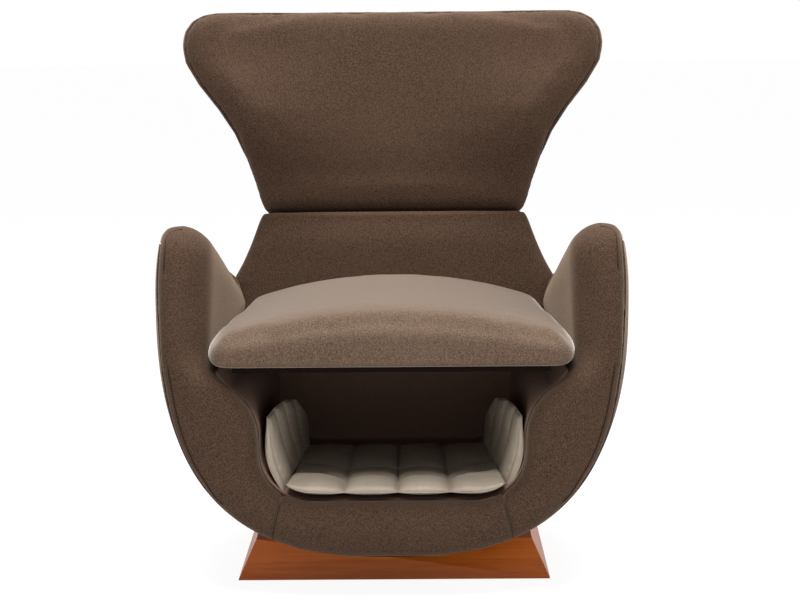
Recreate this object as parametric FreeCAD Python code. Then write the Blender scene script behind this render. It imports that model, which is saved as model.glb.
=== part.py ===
import FreeCAD, Part
import math
import os

# Swivelling wing-back lounge chair with a pet nest under the seat.
# Millimetres, +Z up. The origin is on the floor, on the swivel axis; the sitter faces -Y.

V = FreeCAD.Vector

# Plinth: a low frame of four veneered boards, mitred at the corners and leaning inwards
PLINTH_WIDTH = 534.0
PLINTH_DEPTH = 460.0
PLINTH_HEIGHT = 69.0
PLINTH_END_LEAN = 31.5
PLINTH_FACE_LEAN = 20.0
BOARD = 18.0
DECK = 18.0
DECK_TOP = 50.0
GLIDE_RADIUS = 14.0
GLIDE_HEIGHT = 2.5
CORNER_BLOCK = 52.0

# Swivel: two steel plates with a glide ring between them, round a short pivot
SWIVEL_HALF = 96.0
SWIVEL_PLATE = 3.0
RING_RADIUS = 82.0
RING_WIDTH = 14.0
RING_HEIGHT = 8.4
PIVOT_RADIUS = 14.0
RUNNING_GAP = 0.3
PIVOT_GAP = 0.06
SCREW_RADIUS = 3.0
SCREW_HEAD = 5.5
SCREW_CIRCLE = 52.0
SCREWS = 4
MOUNTING_HALF = 135.0
MOUNTING_BOARD = 24.0

# Tub: an egg-shaped shell that is flat in front, where the nest opens
TUB_HALF_WIDTH = 407.0
TUB_NOSE_HALF_WIDTH = 352.0
TUB_NOSE_Y = -418.0
TUB_WIDEST_Y = -58.0
TUB_CLEARANCE = 3.5
TUB_BELLY = 401.5
TUB_WIDEST_Z = PLINTH_HEIGHT + TUB_CLEARANCE + TUB_BELLY
TUB_SHOULDER = 330.0
TUB_REAR_REACH = 400.0
BELLY_POWER = 2.65
SHOULDER_POWER = 2.5
REAR_POWER = 2.7
SHELL = 12.0
# Places of the cross-sections, as shares of the reach forwards and backwards of the widest one
EGG_STATIONS = (-1.0, -0.7, -0.4, 0.0, 0.3, 0.5, 0.66, 0.79, 0.885, 0.95, 0.988)
OUTER_SIDES = 48
INNER_SIDES = 24

# Side profile of the tub: upright front, round arm tip, straight rim sloping down to the rear
FRONT_Y = -370.0
FRONT_STRAIGHT_Z = 270.0
TIP_Y = -220.0
TIP_Z = 530.0
TIP_RADIUS = 80.0
RIM_SLOPE = 18.5
OUTER_ROLL = 30.0
INNER_ROLL = 32.0
RING_PADDING = 45.0
RING_CROWN = 4.0
SHELL_GROOVE = 21.0
RING_GAP = 1.3

# Nest under the seat, and the space between the arms
NEST_FLOOR_Z = 165.0
NEST_FLOOR_HALF = 140.0
NEST_CORNER = 78.0
NEST_REAR_Y = 152.0
FLARE_START_Z = 270.0
FLARE_RISE = 160.0
ARM_INNER_HALF = 301.0
LINER = 5.0
INNER_PADDING = 20.0
SEAT_LEDGE_Z = 379.0
LEDGE_START_Y = -268.0
ROLL_END_Y = 134.0
LIP_SEAM_ANGLE = 59.0
LIP_SEAM_LEAN = 13.0
PLY = 18.0
FRONT_RIB_Y = -308.0
MIDDLE_RIB_Y = -48.0
BASE_RAIL_WIDTH = 40.0
BASE_RAIL_X = 90.0
CROSS_RAIL_DEPTH = 45.0
CROSS_RAIL_HEIGHT = 58.0
REAR_PAD_HALF = 150.0

# Seat
SEAT_BOARD = 12.0
SEAT_FRONT_Y = -366.0
SEAT_BOARD_SETBACK = 36.0
SEAT_SIDE_GAP = 1.5
SEAT_REAR_TAPER = 14.0
SEAT_CROWN = 86.0
SEAT_EDGE = 42.0
SEAT_NOSE = 120.0
SEAT_CORNER = 33.0
SEAT_REAR_GAP = 1.0
SEAT_CORE_MARGIN = 26.0
SEAT_STATIONS = (0.0, 5.0, 16.0, 36.0, 68.0, 112.0, 200.0, 330.0)

# Lower back, leaning with the wing back above it
BACK_LEAN = 17.0
BACK_FRONT_Y = 151.0
BACK_FRONT_Z = 475.0
BACK_THICKNESS = 100.0
BACK_HALF_WIDTH = 290.0
BACK_LOW_HALF = 295.0
BACK_TAPER = 0.36
BACK_CORNER = 26.0
BACK_CROWN = 10.0
BACK_PADDING = 40.0
BACK_SIDE_PADDING = 24.0
BACK_BOARD = 9.0
BACK_COVER = 14.0
POST_WIDTH = 45.0
POST_X = 150.0

# Hinges between the lower back and the wing back
HINGE_Z = 626.0
HINGE_FORWARD = 10.0
TILT = 30
EYE_RADIUS = 18.0
EYE_POCKET = 24.0
PIN_RADIUS = 5.0
PIN_GAP = 0.05
HINGE_PLATE = 4.0
HINGE_ARM = 25.0
HINGE_DOWN = 150.0
HINGE_UP = 120.0
DISH_GAP = 2.5

# Wing back
WING_THICKNESS = 90.0
WING_TOP_Z = 966.0
WING_SWEEP = 95.0
WING_SWEEP_FOOT = 655.0
WING_SWEEP_TOP = 860.0
WING_FRAME = 10.0
WING_SKIN = 8.0
WING_FRAME_MARGIN = 34.0
# Heights above the floor, and half the width of the wing at each
WING_OUTLINE = ((582, 236), (594, 248), (612, 255), (640, 263), (690, 279), (740, 300), (785, 328),
                (830, 363), (872, 389), (905, 395.5), (930, 391), (950, 376), (961, 354), (965.6, 326))

# Loose quilted mat in the nest: four floor cushions and a standing flap at each end
MAT_CUSHION = 88.0
MAT_CUSHIONS = 4
MAT_ROW = 92.0
MAT_ROWS = 4
MAT_FRONT_Y = -311.0
MAT_PUFF = 22.0
MAT_SEAM = 9.0
MAT_DIP = 1.5
MAT_GAP = 0.4
FLAP_HEIGHT = 112.0
FLAP_FALL = 46.0
FLAP_SETBACK = 12.0
FLAP_PUFF = 18.0
FLAP_SEAM = 6.0
FLAP_LEAN = 17.0

# Reach of the cutting blocks, beyond everything they cut
FAR = 1500.0

# Flats that stand for a curve: on a rounded edge, across a cushion or back, round a screw and
# round the glide ring
ROLL_STEPS = 3
FACE_STEPS = 12
SCREW_SIDES = 6
RING_SIDES = 36

LEAN = math.radians(BACK_LEAN)
SLOPE = math.radians(RIM_SLOPE)
UP = V(0, math.sin(LEAN), math.cos(LEAN))
FORWARD = V(0, -math.cos(LEAN), math.sin(LEAN))
ACROSS = V(1, 0, 0)
SEAT_BOARD_TOP = SEAT_LEDGE_Z + SEAT_BOARD
BACK_REAR_Y = BACK_FRONT_Y + BACK_THICKNESS / math.cos(LEAN)
NEST_WALL = NEST_FLOOR_HALF + NEST_CORNER
MAT_HALF = MAT_CUSHION * MAT_CUSHIONS / 2
MAT_DEPTH = MAT_ROW * MAT_ROWS
PADDED = LINER + INNER_PADDING

os.makedirs("parts", exist_ok=True)


def save(node, shape):
    shape.exportStep("parts/" + node + ".step")
    return shape


def line(a, b):
    return Part.LineSegment(a, b).toShape()


def arc(a, middle, b):
    return Part.Arc(a, middle, b).toShape()


def mirrored(shape):
    return shape.mirror(V(0, 0, 0), V(1, 0, 0))


def flip(p):
    return V(-p.x, p.y, p.z)


def block(x0, x1, y0, y1, z0, z1):
    return Part.makeBox(x1 - x0, y1 - y0, z1 - z0, V(x0, y0, z0))


def rod(radius, start, end):
    axis = end - start
    return Part.makeCylinder(radius, axis.Length, start, axis)


def polygon(corners):
    return Part.makePolygon(corners + corners[:1])


def prism(corners, reach):
    return Part.Face(polygon(corners)).extrude(reach)


def largest(shape):
    return max(shape.Solids, key=lambda s: s.Volume)


def strip(a, b, c, d):
    """Faces between one edge of an outline and the same edge of the next: one if flat, else two."""
    across = (c - a).cross(d - b)
    shortest = min((b - a).Length, (c - b).Length, (d - c).Length, (a - d).Length)
    if shortest > 0.001 and abs(across.dot(b - a)) < 0.0000001 * across.Length:
        return [[a, b, c, d]]
    if (c - a).Length <= (d - b).Length:
        halves = [[a, b, c], [a, c, d]]
    else:
        halves = [[a, b, d], [b, c, d]]
    return [h for h in halves if (h[1] - h[0]).cross(h[2] - h[0]).Length > 0.001]


def skinned(outlines):
    """Solid through outlines with as many corners each, with flat faces from each to the next."""
    corners = [outlines[0], outlines[-1]]
    for before, after in zip(outlines, outlines[1:]):
        for i in range(len(before)):
            corners += strip(before[i - 1], before[i], after[i], after[i - 1])
    shell = Part.makeShell([Part.Face(polygon(face)) for face in corners])
    shell.sewShape()
    solid = Part.Solid(shell)
    if solid.Volume < 0:
        solid.reverse()
    return solid


def mirrored_outline(outline):
    return [flip(p) for p in reversed(outline)]


def steps(count):
    return [i / count for i in range(count + 1)]


def quarter(wide, deep, narrow, shallow):
    """Sizes round an edge, from its side at (wide, deep) to its face at (narrow, shallow)."""
    sizes = []
    for share in steps(ROLL_STEPS):
        turn = math.radians(90 * share)
        sizes.append((narrow + (wide - narrow) * math.cos(turn), deep + (shallow - deep) * math.sin(turn)))
    return sizes


def crowned(half, edge, rise):
    """Sizes across a crowned face, from its left edge to its right one."""
    places = [2 * share - 1 for share in steps(FACE_STEPS)]
    return [(half * place, edge + rise * (1 - place ** 2)) for place in places]


def post(radius, sides, height, centre):
    """Upright prism with the given number of sides."""
    corners = [centre + spot for spot in around(radius, sides)]
    return prism(corners, V(0, 0, height))


# Plinth

def plinth_outline(z, inset):
    share = z / PLINTH_HEIGHT
    x = PLINTH_WIDTH / 2 - PLINTH_END_LEAN * share - inset
    y = PLINTH_DEPTH / 2 - PLINTH_FACE_LEAN * share - inset
    return x, y


def mitred_board(long_side):
    rings = []
    for z in (GLIDE_HEIGHT, PLINTH_HEIGHT):
        x, y = plinth_outline(z, 0)
        xi, yi = plinth_outline(z, BOARD)
        if long_side:
            corners = [V(-x, -y, z), V(x, -y, z), V(xi, -yi, z), V(-xi, -yi, z)]
        else:
            corners = [V(x, -y, z), V(x, y, z), V(xi, yi, z), V(xi, -yi, z)]
        rings.append(corners)
    return skinned(rings)


def build_plinth():
    front = save("plinth_front_board", mitred_board(True))
    save("plinth_rear_board", front.mirror(V(0, 0, 0), V(0, 1, 0)))
    right = save("plinth_right_board", mitred_board(False))
    save("plinth_left_board", mirrored(right))

    deck_bottom = DECK_TOP - DECK
    x, y = plinth_outline(DECK_TOP, BOARD)
    deck = block(-x, x, -y, y, deck_bottom, DECK_TOP)
    for spot in around(SCREW_CIRCLE, SCREWS):
        deck = deck.cut(post(SCREW_RADIUS, SCREW_SIDES, DECK, spot + V(0, 0, deck_bottom)))
    save("plinth_deck", deck)

    blocks = []
    glides = []
    for sx in (-1, 1):
        for sy in (-1, 1):
            cube = block(x - CORNER_BLOCK, x, y - CORNER_BLOCK, y, GLIDE_HEIGHT, deck_bottom)
            if sx < 0:
                cube = mirrored(cube)
            if sy < 0:
                cube = cube.mirror(V(0, 0, 0), V(0, 1, 0))
            blocks.append(cube)
            centre = V(sx * (x - CORNER_BLOCK / 2), sy * (y - CORNER_BLOCK / 2), 0)
            glides.append(post(GLIDE_RADIUS, 2 * SCREW_SIDES, GLIDE_HEIGHT, centre))
    save("plinth_corner_blocks", Part.makeCompound(blocks))
    save("floor_glides", Part.makeCompound(glides))


# Swivel

RING_BOTTOM = DECK_TOP + SWIVEL_PLATE
UPPER_PLATE_Z = RING_BOTTOM + RING_HEIGHT + RUNNING_GAP
MOUNTING_Z = UPPER_PLATE_Z + SWIVEL_PLATE
BASE_Z = MOUNTING_Z + MOUNTING_BOARD


def around(radius, count, start=45.0):
    spots = []
    for i in range(count):
        turn = math.radians(start + 360.0 * i / count)
        spots.append(V(radius * math.cos(turn), radius * math.sin(turn), 0))
    return spots


def drilled_plate(half, z, height, bore):
    plate = block(-half, half, -half, half, z, z + height)
    plate = plate.cut(Part.makeCylinder(bore, height, V(0, 0, z)))
    for spot in around(SCREW_CIRCLE, SCREWS):
        plate = plate.cut(post(SCREW_RADIUS, SCREW_SIDES, height, spot + V(0, 0, z)))
    return plate


def build_swivel():
    save("swivel_lower_plate", drilled_plate(SWIVEL_HALF, DECK_TOP, SWIVEL_PLATE, PIVOT_RADIUS))
    upper_bore = PIVOT_RADIUS + PIVOT_GAP
    save("swivel_upper_plate", drilled_plate(SWIVEL_HALF, UPPER_PLATE_Z, SWIVEL_PLATE, upper_bore))
    board_bore = PIVOT_RADIUS + SWIVEL_PLATE
    save("swivel_mounting_board", drilled_plate(MOUNTING_HALF, MOUNTING_Z, MOUNTING_BOARD, board_bore))

    pivot_top = MOUNTING_Z + SWIVEL_PLATE
    save("swivel_pivot", Part.makeCylinder(PIVOT_RADIUS, pivot_top - DECK_TOP, V(0, 0, DECK_TOP)))
    foot = V(0, 0, RING_BOTTOM)
    ring = post(RING_RADIUS + RING_WIDTH / 2, RING_SIDES, RING_HEIGHT, foot)
    save("swivel_glide_ring", ring.cut(post(RING_RADIUS - RING_WIDTH / 2, RING_SIDES, RING_HEIGHT, foot)))
    lower = []
    upper = []
    head_height = SWIVEL_PLATE - 1
    for spot in around(SCREW_CIRCLE, SCREWS):
        head = post(SCREW_HEAD, SCREW_SIDES, head_height, spot + V(0, 0, RING_BOTTOM))
        shank = post(SCREW_RADIUS, SCREW_SIDES, SWIVEL_PLATE + DECK, spot + V(0, 0, DECK_TOP - DECK))
        lower.append(head.fuse(shank))
        head = post(SCREW_HEAD, SCREW_SIDES, head_height, spot + V(0, 0, UPPER_PLATE_Z - head_height))
        shank = post(SCREW_RADIUS, SCREW_SIDES, SWIVEL_PLATE + MOUNTING_BOARD, spot + V(0, 0, UPPER_PLATE_Z))
        upper.append(head.fuse(shank))
    save("swivel_lower_screws", Part.makeCompound(lower))
    save("swivel_upper_screws", Part.makeCompound(upper))


# Tub: the egg as a formula, as a solid, and the hollows in it

def egg_station(share, inset):
    """Place, half width, depth below and height above the widest level of one cross-section."""
    if share <= 0:
        y = TUB_WIDEST_Y + (TUB_WIDEST_Y - TUB_NOSE_Y) * share
        half = TUB_HALF_WIDTH - (TUB_HALF_WIDTH - TUB_NOSE_HALF_WIDTH) * share ** 2
        return y, half - inset, TUB_BELLY - inset, TUB_SHOULDER - inset
    k = (1 - share ** REAR_POWER) ** (1 / REAR_POWER)
    y = TUB_WIDEST_Y + (TUB_REAR_REACH - inset) * share
    return y, (TUB_HALF_WIDTH - inset) * k, (TUB_BELLY - inset) * k, (TUB_SHOULDER - inset) * k


def egg_at(y):
    """Half width, depth and height of the egg at any place along it."""
    stations = [egg_station(share, 0) for share in EGG_STATIONS]
    for before, after in zip(stations, stations[1:]):
        if y <= after[0]:
            share = (y - before[0]) / (after[0] - before[0])
            return [b + (a - b) * share for b, a in zip(before[1:], after[1:])]
    return stations[-1][1:]


def in_egg(p):
    if p.y > egg_station(EGG_STATIONS[-1], 0)[0]:
        return False
    half, belly, shoulder = egg_at(p.y)
    rise = p.z - TUB_WIDEST_Z
    if rise > 0:
        return (abs(p.x) / half) ** SHOULDER_POWER + (rise / shoulder) ** SHOULDER_POWER < 1
    return (abs(p.x) / half) ** BELLY_POWER + (-rise / belly) ** BELLY_POWER < 1


def egg_points(station, count):
    y, half, belly, shoulder = station
    points = []
    for i in range(count):
        turn = 2 * math.pi * i / count
        c = math.cos(turn)
        s = math.sin(turn)
        power = SHOULDER_POWER if s > 0 else BELLY_POWER
        height = shoulder if s > 0 else belly
        reach = (abs(c) ** power + abs(s) ** power) ** (-1 / power)
        points.append(V(half * reach * c, y, TUB_WIDEST_Z + height * reach * s))
    return points


def egg(inset, sides):
    return skinned([egg_points(egg_station(share, inset), sides) for share in EGG_STATIONS])


TIP = V(0, TIP_Y, TIP_Z)
OUTWARD = V(0, math.sin(SLOPE), math.cos(SLOPE))
DOWNHILL = V(0, math.cos(SLOPE), -math.sin(SLOPE))
TIP_REACH = TIP_Y - FRONT_Y
TIP_RISE = TIP_Z - FRONT_STRAIGHT_Z
FRONT_RADIUS = (TIP_REACH ** 2 + TIP_RISE ** 2 - TIP_RADIUS ** 2) / (2 * (TIP_REACH - TIP_RADIUS))
FRONT_CENTRE = V(0, FRONT_Y + FRONT_RADIUS, FRONT_STRAIGHT_Z)
MEET_ANGLE = math.degrees(math.atan2(TIP_RISE, FRONT_RADIUS - TIP_REACH))
CREST_ANGLE = 90 + RIM_SLOPE


def facing(degrees):
    """Direction out of the tub's side profile, turned up from straight ahead."""
    turn = math.radians(degrees)
    return V(0, -math.cos(turn), math.sin(turn))


def profile_point(degrees, inset=0.0):
    if degrees <= MEET_ANGLE:
        return FRONT_CENTRE + facing(degrees) * (FRONT_RADIUS - inset)
    return TIP + facing(degrees) * (TIP_RADIUS - inset)


def side_profile(inset):
    """The tub seen from the side, as a prism across the chair, smaller all round by inset."""
    foot = V(0, FRONT_Y + inset, 0)
    bend = profile_point(0, inset)
    meet = profile_point(MEET_ANGLE, inset)
    crest = profile_point(CREST_ANGLE, inset)
    end = crest + DOWNHILL * FAR
    edges = [
        line(foot, bend),
        arc(bend, profile_point(MEET_ANGLE / 2, inset), meet),
        arc(meet, profile_point((MEET_ANGLE + CREST_ANGLE) / 2, inset), crest),
        line(crest, end),
        line(end, V(0, end.y, -FAR)),
        line(V(0, end.y, -FAR), V(0, foot.y, -FAR)),
        line(V(0, foot.y, -FAR), foot),
    ]
    face = Part.Face(Part.Wire(edges))
    face.translate(V(-FAR, 0, 0))
    return face.extrude(V(2 * FAR, 0, 0))


def flare_radius(grow):
    spread = ARM_INNER_HALF - NEST_WALL
    return (spread ** 2 + FLARE_RISE ** 2) / (4 * spread)


def throat(front, rear, grow):
    """Prism of the nest's cross-section up to the ledge the seat rests on."""
    floor_z = NEST_FLOOR_Z - grow
    corner = NEST_CORNER + grow
    wall = NEST_WALL + grow
    diagonal = math.sqrt(0.5)

    p1 = V(NEST_FLOOR_HALF, front, floor_z)
    m1 = V(NEST_FLOOR_HALF + corner * diagonal, front, floor_z + corner * (1 - diagonal))
    p2 = V(wall, front, floor_z + corner)
    p3 = V(wall, front, FLARE_START_Z)
    p4 = V(throat_half(FLARE_START_Z + FLARE_RISE / 2) + grow, front, FLARE_START_Z + FLARE_RISE / 2)
    m3 = V(throat_half(FLARE_START_Z + FLARE_RISE / 4) + grow, front, FLARE_START_Z + FLARE_RISE / 4)
    high = SEAT_LEDGE_Z - 0.001
    p5 = V(throat_half(high) + grow, front, SEAT_LEDGE_Z)
    middle_z = (FLARE_START_Z + FLARE_RISE / 2 + SEAT_LEDGE_Z) / 2
    m4 = V(throat_half(middle_z) + grow, front, middle_z)
    right = [line(p2, p3), arc(p3, m3, p4), arc(p4, m4, p5)]
    left = [arc(flip(p5), flip(m4), flip(p4)), arc(flip(p4), flip(m3), flip(p3)), line(flip(p3), flip(p2))]
    edges = [line(flip(p1), p1), arc(p1, m1, p2)] + right + [line(p5, flip(p5))] + left
    edges = edges + [arc(flip(p2), flip(m1), flip(p1))]
    return Part.Face(Part.Wire(edges)).extrude(V(0, rear - front, 0))


def throat_half(z):
    """Half width of the nest at a height, and of the space between the arms above its ledge."""
    if z < NEST_FLOOR_Z + NEST_CORNER:
        drop = NEST_FLOOR_Z + NEST_CORNER - z
        return NEST_FLOOR_HALF + math.sqrt(max(NEST_CORNER ** 2 - drop ** 2, 0))
    if z < FLARE_START_Z:
        return NEST_WALL
    if z >= SEAT_LEDGE_Z:
        return ARM_INNER_HALF
    radius = flare_radius(0)
    if z < FLARE_START_Z + FLARE_RISE / 2:
        return NEST_WALL + radius - math.sqrt(radius ** 2 - (z - FLARE_START_Z) ** 2)
    return ARM_INNER_HALF - radius + math.sqrt(radius ** 2 - (FLARE_START_Z + FLARE_RISE - z) ** 2)


def behind_back(z, offset=0.0):
    """Rear face of the lower back, moved backwards by offset, at a height."""
    return BACK_REAR_Y + (z - BACK_FRONT_Z) * math.tan(LEAN) + offset / math.cos(LEAN)


def arm_space(grow):
    """Room for the seat and the lower back between the arms."""
    low = SEAT_LEDGE_Z
    half = ARM_INNER_HALF + grow
    corners = [V(-half, -FAR, low), V(-half, behind_back(low, grow), low),
               V(-half, behind_back(FAR, grow), FAR), V(-half, -FAR, FAR)]
    return prism(corners, V(2 * half, 0, 0))


def in_hollow(p):
    if p.z >= SEAT_LEDGE_Z:
        return abs(p.x) < ARM_INNER_HALF and p.y < behind_back(p.z)
    return p.z > NEST_FLOOR_Z and abs(p.x) < throat_half(p.z) and p.y < NEST_REAR_Y


# Padded rim: a ring of cross-sections from the lip, round the nest, over the arms to the rear

def edge_along(inside, start, direction, low, high):
    for step in range(30):
        middle = (low + high) / 2
        if inside(start + direction * middle):
            low = middle
        else:
            high = middle
    return low


def rim_section(origin, across, out, inner_roll):
    """Closed outline of the padding where it faces out, from the hollow to the shell."""
    back = origin - out * RING_PADDING
    seam = origin - out * OUTER_ROLL
    width = edge_along(in_egg, seam, across, 0.0, 400.0)
    rear_width = edge_along(in_egg, back, across, 0.0, 400.0)
    rear_wall = edge_along(in_hollow, back, across, -60.0, 60.0)
    rolled = min(inner_roll, width / 3)
    wall = edge_along(in_hollow, origin - out * rolled, across, -60.0, 60.0)
    front = edge_along(in_hollow, origin, across, -60.0, 60.0)
    outer_roll = min(OUTER_ROLL, width - rolled - 4)
    inner_front = front + rolled
    outer_front = max(width - outer_roll, inner_front + 2)
    flat = outer_front - inner_front
    crown = RING_CROWN * min(1.0, flat / 40)
    sizes = [(rear_wall, RING_PADDING), (rear_width - SHELL_GROOVE, RING_PADDING),
             (width - SHELL_GROOVE, OUTER_ROLL)]
    sizes += quarter(width, OUTER_ROLL, outer_front, 0)
    sizes += [(outer_front - flat * 0.3, -crown), (outer_front - flat * 0.7, -crown)]
    sizes += reversed(quarter(wall, rolled, inner_front, 0))
    return [origin + across * sideways - out * deep for sideways, deep in sizes]


def leaning_down(x, z, degrees):
    """Station in the flat front, its outline running down and outwards from the nest's edge."""
    turn = math.radians(degrees)
    return rim_section(V(x, FRONT_Y, z), V(math.sin(turn), 0, -math.cos(turn)), facing(0), INNER_ROLL)


def corner_station(degrees, lean):
    turn = math.radians(degrees)
    x = NEST_FLOOR_HALF + NEST_CORNER * math.sin(turn)
    z = NEST_FLOOR_Z + NEST_CORNER * (1 - math.cos(turn))
    return leaning_down(x, z, lean)


def build_rim():
    seam = corner_station(90 - LIP_SEAM_ANGLE, LIP_SEAM_LEAN)
    half_lip = [leaning_down(NEST_FLOOR_HALF * 0.5, NEST_FLOOR_Z, 3),
                leaning_down(NEST_FLOOR_HALF, NEST_FLOOR_Z, 7), seam]
    lip = [[flip(p) for p in outline] for outline in reversed(half_lip)] + half_lip
    pads = {"front_lip_pad": skinned(lip)}

    arm = [seam, corner_station(46, 22), corner_station(62, 36), corner_station(78, 58)]
    arm.append(leaning_down(NEST_WALL, NEST_FLOOR_Z + NEST_CORNER + 8, 80))
    heights = (FLARE_START_Z, 296.0, 322.0, 350.0, SEAT_LEDGE_Z - 1, SEAT_BOARD_TOP, 440.0, 485.0, 530.0)
    for z in heights:
        degrees = math.degrees(math.asin((z - FRONT_STRAIGHT_Z) / FRONT_RADIUS))
        origin = profile_point(degrees) + ACROSS * throat_half(z)
        arm.append(rim_section(origin, ACROSS, facing(degrees), INNER_ROLL))
    for share in (0.0, 0.17, 0.34, 0.5, 0.67, 0.84, 1.0):
        degrees = MEET_ANGLE + (CREST_ANGLE - MEET_ANGLE) * share
        origin = profile_point(degrees) + ACROSS * ARM_INNER_HALF
        arm.append(rim_section(origin, ACROSS, facing(degrees), INNER_ROLL))
    crest = profile_point(CREST_ANGLE)
    for y in (-140.0, TUB_WIDEST_Y, 20.0, 80.0, ROLL_END_Y):
        origin = crest + DOWNHILL * ((y - crest.y) / DOWNHILL.y) + ACROSS * ARM_INNER_HALF
        last = rim_section(origin, ACROSS, OUTWARD, INNER_ROLL)
        arm.append(last)
    pads["right_arm_pad"] = skinned(arm)
    pads["left_arm_pad"] = mirrored(pads["right_arm_pad"])

    fall = math.tan(SLOPE)
    level = crest.z + crest.y * fall - BACK_FRONT_Z
    notch = (BACK_REAR_Y + level * math.tan(LEAN) + 0.5) / (1 + fall * math.tan(LEAN))
    half_rear = [last]
    spots = ((ARM_INNER_HALF, 168, 6, 16), (ARM_INNER_HALF, 200, 14, 8), (ARM_INNER_HALF, notch - 8, 26, 4),
             (ARM_INNER_HALF - 4, notch, 38, 4), (262, notch, 48, 4), (226, notch, 56, 4),
             (180, notch, 64, 4),
             (120, notch, 73, 4), (45, notch, 84, 4))
    for x, y, turn, roll in spots:
        origin = crest + DOWNHILL * ((y - crest.y) / DOWNHILL.y) + ACROSS * x
        across = ACROSS * math.cos(math.radians(turn)) + DOWNHILL * math.sin(math.radians(turn))
        half_rear.append(rim_section(origin, across, OUTWARD, roll))
    other_half = [[flip(p) for p in outline] for outline in reversed(half_rear)]
    pads["rear_tub_pad"] = skinned(half_rear + other_half)
    for node, pad in pads.items():
        save(node, pad)
    return pads


def build_tub():
    pads = build_rim()
    inside = egg(SHELL, INNER_SIDES)
    hollow = throat(-FAR, NEST_REAR_Y, 0).fuse(arm_space(0))
    lined = throat(-FAR, NEST_REAR_Y + LINER, LINER).fuse(arm_space(0))
    padded = throat(-FAR, NEST_REAR_Y + PADDED, PADDED).fuse(arm_space(PADDED))
    base = block(-MOUNTING_HALF, MOUNTING_HALF, -MOUNTING_HALF, MOUNTING_HALF, 0, BASE_Z)
    behind_ring = side_profile(RING_PADDING + RING_GAP)

    shell = egg(0, OUTER_SIDES).cut(inside).common(side_profile(OUTER_ROLL + RING_GAP))
    shell = shell.cut(arm_space(0)).cut(base)
    save("outer_shell", largest(shell))

    below_seat = block(-FAR, FAR, -FAR, FAR, 0, SEAT_LEDGE_Z)
    liner = lined.cut(hollow).common(behind_ring).common(below_seat)
    save("nest_liner", largest(liner))

    rail_front = NEST_REAR_Y + PADDED
    bulkhead_y = rail_front + CROSS_RAIL_DEPTH
    rail = block(-ARM_INNER_HALF, ARM_INNER_HALF, rail_front, bulkhead_y,
                 SEAT_LEDGE_Z - CROSS_RAIL_HEIGHT, SEAT_LEDGE_Z).common(inside)
    save("rear_cross_rail", rail)
    board_z = NEST_FLOOR_Z - PADDED
    floor_board = block(-NEST_FLOOR_HALF, NEST_FLOOR_HALF, FRONT_RIB_Y, NEST_REAR_Y, board_z,
                        NEST_FLOOR_Z - LINER)
    save("nest_floor_board", floor_board)

    lining = padded.cut(lined).common(behind_ring).common(inside).cut(floor_board).cut(rail)
    middle = block(-REAR_PAD_HALF, REAR_PAD_HALF, NEST_REAR_Y, FAR, 0, SEAT_LEDGE_Z)
    save("nest_rear_pad", largest(lining.common(middle)))
    lining = lining.cut(middle)
    right = block(0, FAR, -FAR, FAR, -FAR, FAR)
    side_pad = save("right_nest_side_pad", largest(lining.common(right)))
    save("left_nest_side_pad", mirrored(side_pad))

    void = inside.common(behind_ring).cut(padded).cut(base)
    bulkhead = largest(void.common(block(-FAR, FAR, bulkhead_y, bulkhead_y + PLY, 0, SEAT_LEDGE_Z)))
    save("rear_bulkhead", bulkhead)
    beam = block(BASE_RAIL_X, BASE_RAIL_X + BASE_RAIL_WIDTH, FRONT_RIB_Y + PLY, bulkhead_y, BASE_Z, board_z)
    beam = save("right_base_rail", beam.common(inside))
    other = save("left_base_rail", mirrored(beam))
    rib = void.common(block(-FAR, FAR, FRONT_RIB_Y, FRONT_RIB_Y + PLY, 0, FAR))
    save("front_rib", largest(rib.cut(beam).cut(other)))
    rib = void.common(block(BASE_RAIL_X, FAR, MIDDLE_RIB_Y, MIDDLE_RIB_Y + PLY, 0, FAR)).cut(beam)
    rib = save("right_middle_rib", largest(rib))
    save("left_middle_rib", mirrored(rib))


# Seat

def cushion_section(y, half, crown, edge, bottom):
    radius = edge * 0.45
    shoulder = half - radius * 0.7
    side = quarter(half, radius, half - radius, 0)[::-1]
    side.append((half - radius * 0.14, radius + (edge - radius) * 0.6))
    sizes = side + crowned(shoulder, edge, crown - edge)[::-1]
    sizes += [(-x, height) for x, height in reversed(side)]
    return [V(x, y, bottom + height) for x, height in sizes]


def seat_rear_y(z):
    return behind_back(z) - (BACK_THICKNESS + BACK_CROWN) / math.cos(LEAN) - SEAT_REAR_GAP


def seat_form():
    sections = []
    rear_y = seat_rear_y(SEAT_BOARD_TOP)
    places = [SEAT_FRONT_Y + d for d in SEAT_STATIONS] + [rear_y]
    for y in places:
        nose = min((y - SEAT_FRONT_Y) / SEAT_NOSE, 1)
        swell = (1 - (1 - nose) ** 2.3) ** (1 / 2.3)
        half = ARM_INNER_HALF - SEAT_SIDE_GAP - SEAT_CORNER * (1 - swell) ** 1.5
        half = half - SEAT_REAR_TAPER * max((y - SEAT_FRONT_Y) / (rear_y - SEAT_FRONT_Y), 0) ** 2
        crown = SEAT_CROWN * (0.42 + 0.58 * swell)
        edge = SEAT_EDGE * (0.62 + 0.38 * swell)
        sections.append(cushion_section(y, half, crown, edge, SEAT_BOARD_TOP))
    return skinned(sections)


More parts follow.
